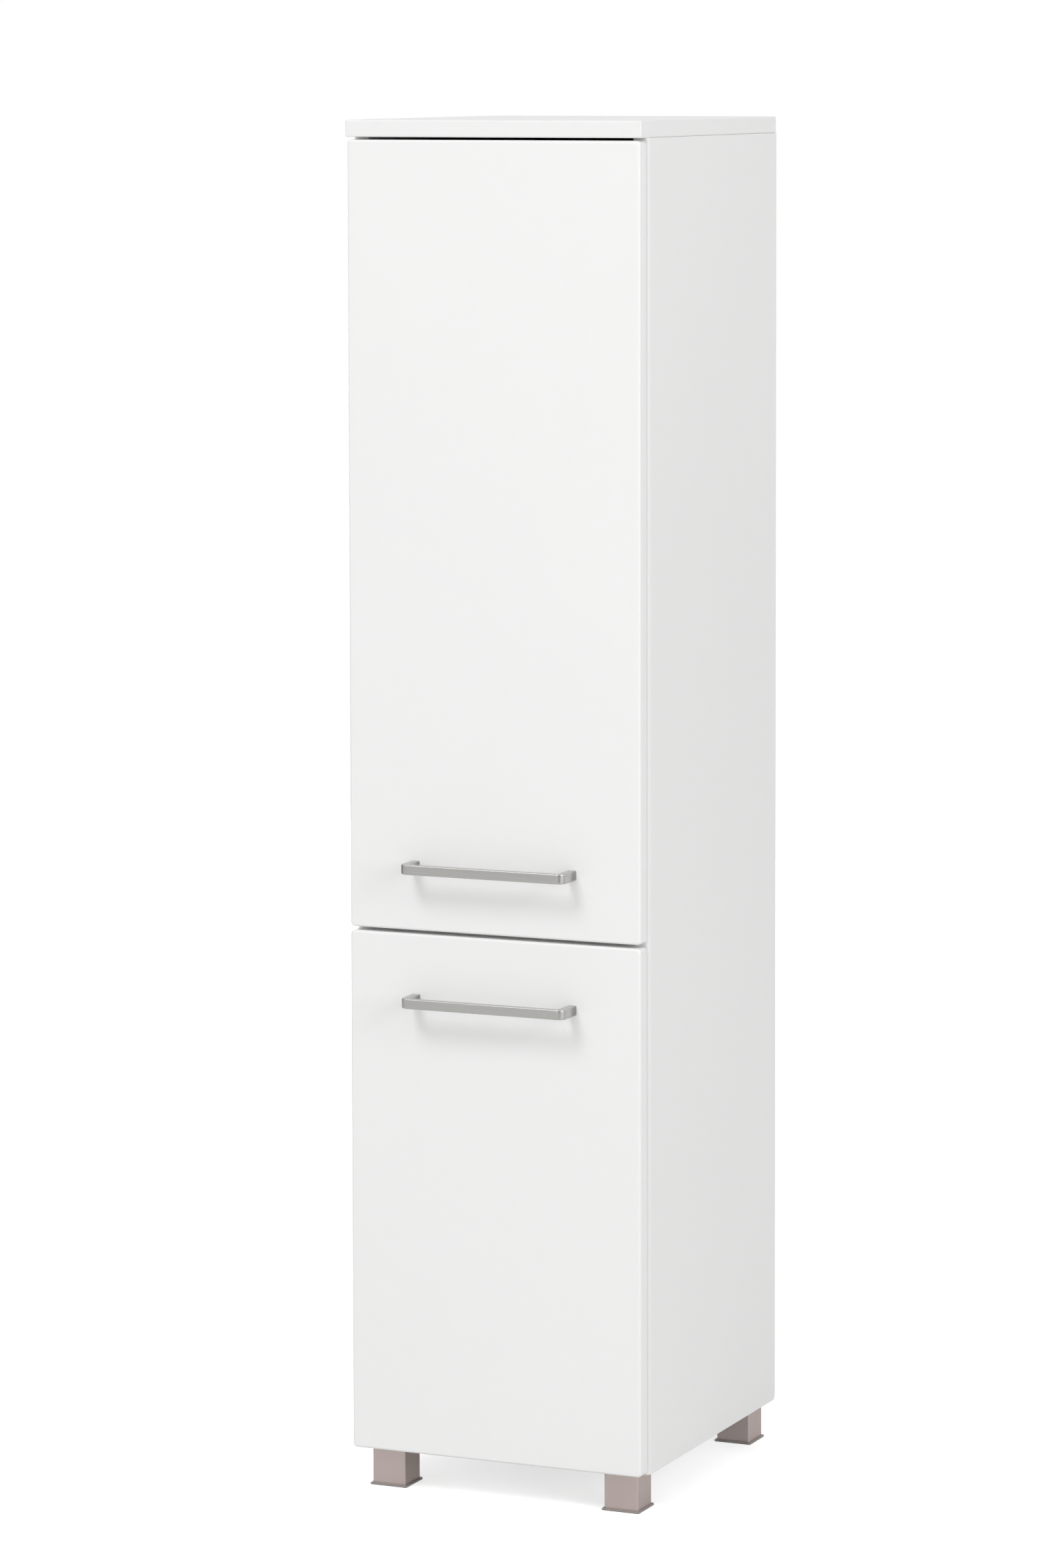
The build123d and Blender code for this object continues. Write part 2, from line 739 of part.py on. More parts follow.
with BuildPart() as cam_locks:
    for side in (-1, 1):
        cam_x = side * (inside / 2 - cam_distance)
        for under in (carcass_bottom, middle_under):
            with BuildSketch(Plane.XY.offset(under)):
                with Locations(*[(cam_x, y) for y in rows]):
                    Circle(cam_radius - hole_play)
            extrude(amount=cam_depth - cam_spare)
            with BuildSketch(Plane.XY.offset(under)):
                with Locations(*[(cam_x, y) for y in rows]):
                    Rectangle(cam_slot_length, cam_slot_width)
            extrude(amount=cam_slot_depth, mode=Mode.SUBTRACT)
            with BuildSketch(Plane.YZ.offset(cam_x - side * bolt_hole_radius)):
                with Locations(*[(y, under + board / 2) for y in rows]):
                    Circle(bolt_hole_radius)
            extrude(amount=side * (cam_radius + bolt_hole_radius), mode=Mode.SUBTRACT)
        cam_z = top_under - cam_distance
        with BuildSketch(Plane.YZ.offset(side * inside / 2)):
            with Locations(*[(y, cam_z) for y in rows]):
                Circle(cam_radius - hole_play)
        extrude(amount=side * (cam_depth - cam_spare))
        with BuildSketch(Plane.YZ.offset(side * inside / 2)):
            with Locations(*[(y, cam_z) for y in rows]):
                Rectangle(cam_slot_length, cam_slot_width)
        extrude(amount=side * cam_slot_depth, mode=Mode.SUBTRACT)
        with BuildSketch(Plane.XY.offset(cam_z - bolt_hole_radius)):
            with Locations(*[(side * (width - board) / 2, y) for y in rows]):
                Circle(bolt_hole_radius)
        extrude(amount=cam_radius + bolt_hole_radius, mode=Mode.SUBTRACT)
save(cam_locks, "cam_locks")

with BuildPart() as cam_caps:
    for side in (-1, 1):
        with BuildSketch(Plane.YZ.offset(side * inside / 2)):
            with Locations(*[(y, top_under - cam_distance) for y in rows]):
                Circle(cap_radius)
        extrude(amount=-side * cap_height)
        with BuildSketch(Plane.XY.offset(middle_under)):
            with Locations(*[(side * (inside / 2 - cam_distance), y) for y in rows]):
                Circle(cap_radius)
        extrude(amount=-cap_height)
save(cam_caps, "cam_caps")

with BuildPart() as shelf_pins:
    for side in (-1, 1):
        pin_spots = [(y, z) for y in rows for z in pin_heights]
        with BuildSketch(Plane.YZ.offset(side * inside / 2)):
            with Locations(*pin_spots):
                Circle(pin_radius)
        extrude(amount=side * pin_in_side)
        with BuildSketch(Plane.YZ.offset(side * inside / 2)):
            with Locations(*pin_spots):
                Circle(pin_head_radius)
        extrude(amount=-side * pin_reach)
    flat_boxes = [
        (0, (front_row + rear_row) / 2, z + pin_radius + pin_flat_height / 2)
        for z in pin_heights
    ]
    with Locations(*flat_boxes):
        Box(inside, rear_row - front_row + pin_flat_margin, pin_flat_height, mode=Mode.SUBTRACT)
save(shelf_pins, "shelf_pins")

# Doors with what they carry
door_panel("upper_door_panel", upper_door_bottom, upper_door_top, upper_hinges, upper_handle_z)
door_panel("lower_door_panel", lower_door_bottom, lower_door_top, lower_hinges, lower_handle_z)
handle("upper_handle", upper_handle_z)
handle("lower_handle", lower_handle_z)
for door_name, handle_z in (("upper", upper_handle_z), ("lower", lower_handle_z)):
    handle_seats = [
        backward(half * handle_spacing / 2, door_back, handle_z) for half in (-1, 1)
    ]
    screw_group(f"{door_name}_handle_screws", handle_seats, board + handle_screw_depth,
                head_radius=handle_screw_head_radius, head_height=handle_screw_head_height)
bumpers("upper_door_bumpers", [upper_door_bottom + bumper_inset, upper_door_top - bumper_inset])
bumpers("lower_door_bumpers", [lower_door_bottom + bumper_inset, lower_door_top - bumper_inset])

# Hinges
for door_name, heights in (("upper", upper_hinges), ("lower", lower_hinges)):
    hinge_cups(f"{door_name}_hinge_cups", heights)
    hinge_plates(f"{door_name}_hinge_plates", heights)
    hinge_arms(f"{door_name}_hinge_arms", heights)
    hinge_pins(f"{door_name}_hinge_pins", heights)
    hinge_levers(f"{door_name}_hinge_levers", heights)
    cup_seats = [
        backward(cup_x + wing_offset, door_back + flange, z + half * cup_screw_spacing / 2)
        for z in heights
        for half in (-1, 1)
    ]
    screw_group(f"{door_name}_cup_screws", cup_seats, cup_screw_length,
                shank_radius=cup_screw_radius, head_height=cup_screw_head_height)
all_hinges = lower_hinges + upper_hinges
plate_seats = [
    inward(side_face + plate_base, front_row, z + half * plate_screw_spacing / 2)
    for z in all_hinges
    for half in (-1, 1)
]
screw_group("hinge_plate_screws", plate_seats, plate_base + plate_screw_bite)
arm_seats = [inward(arm_top, arm_screw_y, z) for z in all_hinges]
screw_group("hinge_arm_screws", arm_seats, arm_screw_length,
            head_radius=arm_screw_head_radius, head_height=arm_screw_head_height)

# Wall brackets under the top panel
for side_name, side in (("left", -1), ("right", 1)):
    bracket_x = side * bracket_spacing / 2
    with BuildPart() as bracket:
        with BuildSketch(Plane.YZ.offset(bracket_x - bracket_width / 2)):
            with Locations((back_panel_front - bracket_leg / 2, top_under - bracket_plate / 2)):
                Rectangle(bracket_leg, bracket_plate)
            with Locations((back_panel_front - bracket_plate / 2, top_under - bracket_leg / 2)):
                Rectangle(bracket_plate, bracket_leg)
        extrude(amount=bracket_width)
        with BuildSketch(Plane.XZ.offset(-back_panel_front)):
            with Locations((bracket_x, bracket_hole_z)):
                Circle(bracket_hole_radius)
        extrude(amount=bracket_plate, mode=Mode.SUBTRACT)
        with BuildSketch(Plane.XY.offset(top_under)):
            with Locations((bracket_x, back_panel_front - bracket_leg / 2)):
                Circle(screw_radius + screw_play)
        extrude(amount=-bracket_plate, mode=Mode.SUBTRACT)
    save(bracket, f"wall_bracket_{side_name}")
bracket_seats = [
    downward(side * bracket_spacing / 2, back_panel_front - bracket_leg / 2,
             top_under - bracket_plate)
    for side in (-1, 1)
]
screw_group("wall_bracket_screws", bracket_seats, bracket_plate + bracket_screw_bite)

# Feet
for foot_name, (x, y, facing) in feet.items():
    foot(foot_name, x, y, facing)
foot_seats = [downward(x, y, carcass_bottom - foot_plate) for x, y in foot_screw_spots]
screw_group("foot_screws", foot_seats, foot_plate + foot_screw_bite)
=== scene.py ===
import json
import math
import bmesh
import bpy
from bpy.props import FloatProperty, FloatVectorProperty, PointerProperty
from bpy.types import Operator, Panel, PropertyGroup
from mathutils import Matrix, Vector

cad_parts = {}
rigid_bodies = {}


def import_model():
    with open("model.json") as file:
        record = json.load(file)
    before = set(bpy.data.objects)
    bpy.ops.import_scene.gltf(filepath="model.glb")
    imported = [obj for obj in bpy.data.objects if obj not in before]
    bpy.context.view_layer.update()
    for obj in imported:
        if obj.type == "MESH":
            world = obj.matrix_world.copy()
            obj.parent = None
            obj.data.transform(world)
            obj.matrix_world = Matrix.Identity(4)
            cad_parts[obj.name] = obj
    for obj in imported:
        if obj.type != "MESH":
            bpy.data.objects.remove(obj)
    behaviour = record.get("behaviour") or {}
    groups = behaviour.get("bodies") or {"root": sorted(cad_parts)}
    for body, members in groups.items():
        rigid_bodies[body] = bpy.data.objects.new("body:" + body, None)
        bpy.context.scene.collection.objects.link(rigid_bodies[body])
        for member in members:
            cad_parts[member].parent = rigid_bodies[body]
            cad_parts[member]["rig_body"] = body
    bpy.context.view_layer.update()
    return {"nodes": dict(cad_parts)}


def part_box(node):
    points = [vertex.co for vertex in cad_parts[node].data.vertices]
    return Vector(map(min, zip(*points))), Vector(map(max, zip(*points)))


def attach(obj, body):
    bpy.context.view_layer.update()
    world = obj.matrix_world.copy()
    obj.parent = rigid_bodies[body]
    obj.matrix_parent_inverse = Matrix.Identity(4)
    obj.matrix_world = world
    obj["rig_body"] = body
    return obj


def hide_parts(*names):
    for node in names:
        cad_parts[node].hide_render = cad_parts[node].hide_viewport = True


bl_info = {
    "name": "Mid-height bathroom cabinet",
    "version": (1, 0, 0),
    "blender": (4, 5, 0),
    "location": "View3D > Sidebar > Cabinet",
    "description": "Finishes and fittings of a tall narrow white cabinet with two doors",
    "category": "Object",
}

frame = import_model()


def colour_property(name, description, default):
    """A colour that a user would change."""
    return FloatVectorProperty(name=name, description=description, default=default,
                               subtype="COLOR", size=3, min=0.0, max=1.0)


def length_property(name, description, default):
    """A length in metres that a user would change."""
    return FloatProperty(name=name, description=description, default=default,
                         unit="LENGTH", min=0.0, precision=5)


class CabinetFinishes(PropertyGroup):
    """Colours of the cabinet's surfaces."""

    door_white: colour_property("Door white", "Lacquer on the doors", (0.90, 0.90, 0.895))
    board_white: colour_property("Board white", "Facing of the boards", (0.88, 0.88, 0.875))
    back_white: colour_property("Back white", "Facing of the thin back panel", (0.84, 0.84, 0.83))
    handle_nickel: colour_property("Handle nickel", "Brushed metal of the handles",
                                   (0.495, 0.488, 0.472))
    foot_metal: colour_property("Foot metal", "Warm grey metal of the legs", (0.555, 0.475, 0.452))
    pad_dark: colour_property("Pad", "Plastic pads under the legs", (0.30, 0.27, 0.26))
    hinge_nickel: colour_property("Hinge nickel", "Plated steel of the hinges",
                                  (0.62, 0.61, 0.585))
    zinc: colour_property("Zinc", "Plated steel of brackets and plates", (0.60, 0.61, 0.62))
    screw_steel: colour_property("Screw steel", "Plated steel of the screws", (0.60, 0.585, 0.55))
    beech: colour_property("Beech", "Wood of the dowels", (0.62, 0.42, 0.24))
    cap_white: colour_property("Cap white", "Plastic of the cam caps", (0.86, 0.86, 0.85))
    bumper_clear: colour_property("Bumper", "Clear rubber of the door stops", (0.80, 0.80, 0.78))


class CabinetHandles(PropertyGroup):
    """Sizes of the two bar handles."""

    bar: length_property("Bar", "Thickness of the bar, front to back", 0.006)
    post: length_property("Post", "Thickness of the posts", 0.008)
    outer_round: length_property("Outer round", "Radius of the bar's outer corners", 0.0078)
    inner_round: length_property("Inner round", "Radius of the bar's inner corners", 0.0025)
    edge_round: length_property("Edge round", "Radius along the bar's rims", 0.0012)


class CabinetFittings(PropertyGroup):
    """How softly the small metal and plastic fittings are edged."""

    sheet_edge: length_property("Sheet edge", "Rounding of pressed steel edges", 0.00025)
    screw_edge: length_property("Screw edge", "Rounding of screw heads", 0.0003)
    cap_edge: length_property("Cap edge", "Rounding of moulded caps and pads", 0.0004)


class CabinetStage(PropertyGroup):
    """Camera, lights and floor."""

    lens: FloatProperty(name="Lens", description="Focal length on a 36 mm high frame",
                        default=127.79, subtype="DISTANCE_CAMERA", min=1.0)
    shift: FloatProperty(name="Shift", description="Vertical shift of the frame",
                         default=-0.18, min=-1.0, max=1.0)
    eye: FloatVectorProperty(name="Eye", description="Where the camera stands",
                             default=(2.1127, -4.8506, 1.3618), subtype="TRANSLATION", size=3)
    pitch: FloatProperty(name="Pitch", description="Tilt of the camera upwards",
                         default=math.radians(-4.611), subtype="ANGLE")
    yaw: FloatProperty(name="Yaw", description="Turn of the camera to the left",
                       default=math.radians(23.914), subtype="ANGLE")
    roll: FloatProperty(name="Roll", description="Turn of the camera about its view",
                        default=math.radians(-0.136), subtype="ANGLE")
    sky: FloatProperty(name="Sky", description="Strength of the even light all round",
                       default=0.55, min=0.0)
    key: FloatProperty(name="Key", description="Power of the large lamp in front, above",
                       default=116.0, subtype="POWER", min=0.0)
    front: FloatProperty(name="Front", description="Power of the low lamp in front",
                         default=16.0, subtype="POWER", min=0.0)
    side: FloatProperty(name="Side", description="Power of the tall lamp on the right",
                        default=54.0, subtype="POWER", min=0.0)
    back: FloatProperty(name="Back", description="Power of the low lamp behind, on the left",
                        default=40.0, subtype="POWER", min=0.0)


class Cabinet(PropertyGroup):
    """Everything that a user would change."""

    finishes: PointerProperty(type=CabinetFinishes)
    handles: PointerProperty(type=CabinetHandles)
    fittings: PointerProperty(type=CabinetFittings)
    stage: PointerProperty(type=CabinetStage)


class Wire:
    """A value in a node tree. Arithmetic on it adds Math nodes, and node() adds any other."""

    def __init__(self, tree, socket=None):
        self.tree = tree
        self.socket = socket

    def node(self, kind, settings=None, sockets=None, output=0):
        """Add one node: its settings first, then the values or links of its sockets."""
        made = self.tree.nodes.new("ShaderNode" + kind)
        for name, value in (settings or {}).items():
            setattr(made, name, value)
        for name, value in (sockets or {}).items():
            entry = made.inputs[name]
            if isinstance(value, Wire):
                self.tree.links.new(value.socket, entry)
            else:
                entry.default_value = value
        return Wire(self.tree, made.outputs[output] if made.outputs else None)

    def math(self, operation, first, second=0.0):
        return self.node("Math", {"operation": operation}, {0: first, 1: second})

    def __add__(self, other):
        return self.math("ADD", self, other)

    def __radd__(self, other):
        return self.math("ADD", other, self)

    def __sub__(self, other):
        return self.math("SUBTRACT", self, other)

    def __rsub__(self, other):
        return self.math("SUBTRACT", other, self)

    def __mul__(self, other):
        return self.math("MULTIPLY", self, other)

    def __rmul__(self, other):
        return self.math("MULTIPLY", other, self)

    def __abs__(self):
        return self.math("ABSOLUTE", self)

    def larger(self, other):
        return self.math("MAXIMUM", self, other)

    def smooth(self, low, high):
        """0 below low, 1 above high, and a soft step between them."""
        return self.node("MapRange", {"interpolation_type": "SMOOTHSTEP"},
                         {"Value": self, "From Min": low, "From Max": high})

    def mix(self, first, second):
        """The first colour where this value is 0 and the second where it is 1."""
        return self.node("Mix", {"data_type": "RGBA"},
                         {0: self, 6: colour(first), 7: colour(second)}, output=2)

    def stretched(self, scales):
        """This position with each axis scaled."""
        return self.node("VectorMath", {"operation": "MULTIPLY"}, {0: self, 1: scales})

    def axis(self, letter):
        return self.node("SeparateXYZ", {}, {0: self}, output=letter)

    def noise(self, scale, detail=2.0, roughness=0.5):
        """Noise at this position, about 0.5 on average."""
        return self.node("TexNoise", {}, {"Vector": self, "Scale": scale, "Detail": detail,
                                          "Roughness": roughness})


def colour(value):
    """A colour with its alpha, or a wire as it is."""
    return value if isinstance(value, Wire) else (*value, 1.0)


def shaded(value, share):
    """A colour made darker or lighter by a share."""
    return tuple(min(1.0, part * share) for part in value)


def emptied(owner):
    """A start in the emptied node tree of a material or a world."""
    owner.use_nodes = True
    owner.node_tree.nodes.clear()
    return Wire(owner.node_tree)


def new_finish(name):
    """A new material and the position on the piece, in its own coordinates."""
    material = bpy.data.materials.new(name)
    return material, emptied(material).node("TexCoord", output="Object")


def close_finish(material, place, height=None, depth=0.0, **sockets):
    """Add the shader: sockets by name, with _ for a space, and a bump of the given depth."""
    values = {name.replace("_", " "): value for name, value in sockets.items()}
    values["Base Color"] = colour(values["Base Color"])
    if height is not None:
        values["Normal"] = place.node("Bump", {}, {"Strength": 1.0, "Distance": depth,
                                                   "Height": height})
    shader = place.node("BsdfPrincipled", {}, values)
    place.node("OutputMaterial", {}, {"Surface": shader})
    return material


def door_finish(finishes):
    """White lacquer: a soft gloss with the faint ripple that a sprayed surface has."""
    material, place = new_finish("door lacquer")
    cloud = place.noise(4.0, 1.0)
    ripple = place.noise(330.0, 2.0)
    dust = place.noise(2400.0, 1.0)
    white = tuple(finishes.door_white)
    return close_finish(
        material, place, height=ripple + 0.25 * dust, depth=0.00002,
        Base_Color=cloud.mix(shaded(white, 0.99), shaded(white, 1.005)),
        Roughness=0.27 + 0.08 * cloud)


def board_finish(finishes):
    """White facing on board: satin, with the fine pearl grain that is pressed into it."""
    material, place = new_finish("board facing")
    cloud = place.noise(5.0, 1.0)
    pearl = place.noise(900.0, 3.0, 0.6)
    white = tuple(finishes.board_white)
    return close_finish(
        material, place, height=pearl, depth=0.00004,
        Base_Color=cloud.mix(shaded(white, 0.99), shaded(white, 1.005)),
        Roughness=0.34 + 0.10 * pearl)


def back_finish(finishes):
    """Matt white facing on thin fibreboard."""
    material, place = new_finish("back facing")
    fibre = place.stretched((1.0, 1.0, 0.35)).noise(700.0, 4.0, 0.65)
    cloud = place.noise(6.0, 2.0)
    white = tuple(finishes.back_white)
    return close_finish(
        material, place, height=fibre, depth=0.00006,
        Base_Color=(0.6 * cloud + 0.4 * fibre).mix(shaded(white, 0.97), white),
        Roughness=0.52 + 0.12 * fibre)


def handle_finish(finishes):
    """Brushed nickel: fine scratches along the bar, and along the posts at its ends."""
    material, place = new_finish("brushed nickel")
    at_end = abs(place.axis("X")).smooth(low=0.073, high=0.079)
    along_bar = place.stretched((12.0, 1500.0, 1500.0)).noise(1.0, 3.0, 0.6)
    along_post = place.stretched((1500.0, 60.0, 1500.0)).noise(1.0, 3.0, 0.6)
    scratch = along_bar * (1 - at_end) + along_post * at_end
    nickel = tuple(finishes.handle_nickel)
    return close_finish(
        material, place, height=scratch, depth=0.000012,
        Base_Color=scratch.mix(shaded(nickel, 0.90), shaded(nickel, 1.10)),
        Roughness=0.19 + 0.14 * scratch, Metallic=1.0)


def foot_finish(finishes):
    """Satin warm grey metal of the legs, with a faint upright grain."""
    material, place = new_finish("foot metal")
    grain = place.stretched((1400.0, 1400.0, 30.0)).noise(1.0, 3.0, 0.6)
    cloud = place.noise(40.0, 2.0)
    metal = tuple(finishes.foot_metal)
    return close_finish(
        material, place, height=grain, depth=0.00001,
        Base_Color=(0.5 * grain + 0.5 * cloud).mix(shaded(metal, 0.94), shaded(metal, 1.06)),
        Roughness=0.42 + 0.12 * grain, Metallic=1.0)


def plated_finish(name, metal, roughness):
    """Plated steel with a faint mottle and fine handling marks."""
    material, place = new_finish(name)
    mottle = place.noise(160.0, 3.0, 0.6)
    marks = place.stretched((500.0, 500.0, 3000.0)).noise(1.0, 2.0)
    return close_finish(
        material, place, height=mottle + 0.4 * marks, depth=0.00001,
        Base_Color=mottle.mix(shaded(metal, 0.90), shaded(metal, 1.08)),
        Roughness=roughness + 0.14 * marks, Metallic=1.0)


def moulded_finish(name, plastic, roughness):
    """Moulded plastic or rubber with a fine even texture."""
    material, place = new_finish(name)
    grain = place.noise(1800.0, 2.0)
    cloud = place.noise(120.0, 1.0)
    return close_finish(
        material, place, height=grain, depth=0.00003,
        Base_Color=cloud.mix(shaded(plastic, 0.96), shaded(plastic, 1.03)),
        Roughness=roughness + 0.12 * grain)


def beech_finish(finishes):
    """Raw beech: long grain with short dark flecks, along each dowel's length."""
    material, place = new_finish("beech")
    grain = place.stretched((60.0, 900.0, 900.0)).noise(1.0, 4.0, 0.6)
    flecks = place.stretched((220.0, 2600.0, 2600.0)).noise(1.0, 2.0).smooth(low=0.58, high=0.68)
    wood = tuple(finishes.beech)
    return close_finish(
        material, place, height=grain, depth=0.00005,
        Base_Color=(grain - 0.4 * flecks).mix(shaded(wood, 0.75), shaded(wood, 1.2)),
        Roughness=0.6 + 0.2 * grain)


def dress(names, material):
    """Give CAD nodes a finish."""
    for name in names:
        node = frame["nodes"][name]
        node.data.materials.clear()
        node.data.materials.append(material)


def nodes_like(*endings):
    """Names of the CAD nodes with one of these endings."""
    found = [name for name in frame["nodes"] if name.endswith(endings)]
    if not found:
        raise RuntimeError(f"no node ends with {endings}")
    return found


merge_distance = 1e-6
match_tolerance = 1e-5
flat_angle = math.radians(1)
sharp_angle = math.radians(40)
rim_angle = 1.0
level_tolerance = 1e-6


def body_of(name):
    """The body that a CAD node rides on."""
    return frame["nodes"][name]["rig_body"]


def rise(edge):
    """How far an edge goes up or down."""
    return abs(edge.verts[0].co.z - edge.verts[1].co.z)


def bevel(shape, edges, radius, segments):
    """Round edges of a mesh in the making."""
    bmesh.ops.bevel(shape, geom=edges, offset=radius, offset_type="OFFSET", segments=segments,
                    profile=0.5, affect="EDGES", clamp_overlap=True, loop_slide=True, material=-1)


def add_object(name, shape, material):
    """Put a finished mesh in the scene."""
    mesh = bpy.data.meshes.new(name)
    shape.to_mesh(mesh)
    shape.free()
    mesh.materials.append(material)
    added = bpy.data.objects.new(name, mesh)
    bpy.context.scene.collection.objects.link(added)
    return added


def add_piece(name, shape, material, replaced):
    """Turn a finished mesh into a piece that stands for a CAD node and rides with it."""
    bmesh.ops.recalc_face_normals(shape, faces=shape.faces)
    for face in shape.faces:
        face.smooth = True
    piece = add_object(name, shape, material)
    piece.modifiers.new("normals", "WEIGHTED_NORMAL").keep_sharp = True
    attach(piece, body_of(replaced))
    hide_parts(replaced)


def soften(names, material, radius, segments=2):
    """Replace CAD nodes by copies with their sharp edges rounded."""
    for name in names:
        shape = bmesh.new()
        shape.from_mesh(frame["nodes"][name].data)
        bmesh.ops.remove_doubles(shape, verts=shape.verts, dist=merge_distance)
        bmesh.ops.dissolve_limit(shape, angle_limit=flat_angle, verts=shape.verts,
                                 edges=shape.edges)
        sharp = [edge for edge in shape.edges if edge.calc_face_angle(0.0) > sharp_angle]
        bevel(shape, sharp, radius, segments)
        add_piece(f"{name}_piece", shape, material, name)


class CABINET_OT_doors(Operator):
    """Finish the two door panels in white lacquer"""

    bl_idname = "cabinet.doors"
    bl_label = "Doors"

    def execute(self, context):
        dress(nodes_like("door_panel"), door_finish(context.scene.cabinet.finishes))
        return {"FINISHED"}


class CABINET_OT_boards(Operator):
    """Finish the sides, the top, the fixed boards and the loose shelves"""

    bl_idname = "cabinet.boards"
    bl_label = "Boards"

    def execute(self, context):
        finishes = context.scene.cabinet.finishes
        boards = ["side_panel_left", "side_panel_right", "top_panel", "bottom_panel",
                  "middle_shelf", "adjustable_shelf_lower", "adjustable_shelf_upper_low",
                  "adjustable_shelf_upper_high"]
        dress(boards, board_finish(finishes))
        dress(["back_panel"], back_finish(finishes))
        return {"FINISHED"}


class CABINET_OT_handles(Operator):
    """Make the two bar handles"""

    bl_idname = "cabinet.handles"
    bl_label = "Handles"

    def execute(self, context):
        cabinet = context.scene.cabinet
        nickel = handle_finish(cabinet.finishes)
        for door in ("upper", "lower"):
            shape = self.bar(cabinet.handles, *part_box(f"{door}_handle"))
            add_piece(f"{door}_bar_handle", shape, nickel, f"{door}_handle")
        return {"FINISHED"}

    def bar(self, sizes, low, high):
        """A bar bent back to the door at both ends, in the space between two corners."""
        front, door = low.y, high.y
        inner_front = front + sizes.bar
        inner_low, inner_high = low.x + sizes.post, high.x - sizes.post
        outline = [(low.x, door), (low.x, front), (high.x, front), (high.x, door),
                   (inner_high, door), (inner_high, inner_front), (inner_low, inner_front),
                   (inner_low, door)]
        shape = bmesh.new()
        face = shape.faces.new([shape.verts.new((x, y, low.z)) for x, y in outline])
        raised = bmesh.ops.extrude_face_region(shape, geom=[face])["geom"]
        corners = [part for part in raised if isinstance(part, bmesh.types.BMVert)]
        bmesh.ops.translate(shape, vec=(0, 0, high.z - low.z), verts=corners)
        bmesh.ops.holes_fill(shape, edges=shape.edges)
        upright = [edge for edge in shape.edges if rise(edge) > sizes.bar]
        bevel(shape, [edge for edge in upright if edge.verts[0].co.y < front + match_tolerance],
              sizes.outer_round, segments=12)
        bevel(shape, [edge for edge in shape.edges
                      if rise(edge) > sizes.bar
                      and abs(edge.verts[0].co.y - inner_front) < match_tolerance
                      and abs(abs(edge.verts[0].co.x) - inner_high) < match_tolerance],
              sizes.inner_round, segments=8)
        rims = [edge for edge in shape.edges
                if rise(edge) < level_tolerance and edge.calc_face_angle(0.0) > rim_angle]
        bevel(shape, rims, sizes.edge_round, segments=4)
        return shape


class CABINET_OT_feet(Operator):
    """Finish the square legs, and soften and finish their mounting plates and height adjusters"""

    bl_idname = "cabinet.feet"
    bl_label = "Feet"

    def execute(self, context):
        cabinet = context.scene.cabinet
        finishes = cabinet.finishes
        corners = ("front_left", "front_right", "back_left", "back_right")
        dress([f"foot_leg_{corner}" for corner in corners], foot_finish(finishes))
        soften([f"foot_adjuster_{corner}" for corner in corners],
               moulded_finish("pad plastic", tuple(finishes.pad_dark), roughness=0.45),
               cabinet.fittings.cap_edge)
        soften([f"foot_plate_{corner}" for corner in corners],
               plated_finish("plate zinc", tuple(finishes.zinc), roughness=0.32),
               cabinet.fittings.sheet_edge)
        return {"FINISHED"}


class CABINET_OT_hinges(Operator):
    """Soften and finish the parts of the concealed hinges and the shelf pins"""

    bl_idname = "cabinet.hinges"
    bl_label = "Hinges"

    def execute(self, context):
        cabinet = context.scene.cabinet
        nickel = plated_finish("hinge nickel", tuple(cabinet.finishes.hinge_nickel),
                               roughness=0.2)
        soften(nodes_like("hinge_cups", "hinge_arms", "hinge_plates", "hinge_levers",
                          "hinge_pins", "shelf_pins"), nickel, cabinet.fittings.sheet_edge)
        return {"FINISHED"}


class CABINET_OT_fasteners(Operator):
    """Finish the screws, brackets, cams, bolts, caps, dowels and bumpers, most of them softened"""

    bl_idname = "cabinet.fasteners"
    bl_label = "Fasteners"

    def execute(self, context):
        cabinet = context.scene.cabinet
        finishes = cabinet.finishes
        fittings = cabinet.fittings
        zinc = tuple(finishes.zinc)
        soften(nodes_like("screws"),
               plated_finish("screw steel", tuple(finishes.screw_steel), roughness=0.25),
               fittings.screw_edge, segments=3)
        soften(["wall_bracket_left", "wall_bracket_right"],
               plated_finish("bracket zinc", zinc, roughness=0.3), fittings.sheet_edge)
        soften(["cam_locks", "cam_bolts"],
               plated_finish("cast zinc", zinc, roughness=0.4), fittings.sheet_edge)
        dress(["wood_dowels"], beech_finish(finishes))
        soften(["cam_caps"],
               moulded_finish("cap plastic", tuple(finishes.cap_white), roughness=0.35),
               fittings.cap_edge, segments=3)
        dress(nodes_like("bumpers"),
              moulded_finish("bumper", tuple(finishes.bumper_clear), roughness=0.3))
        return {"FINISHED"}


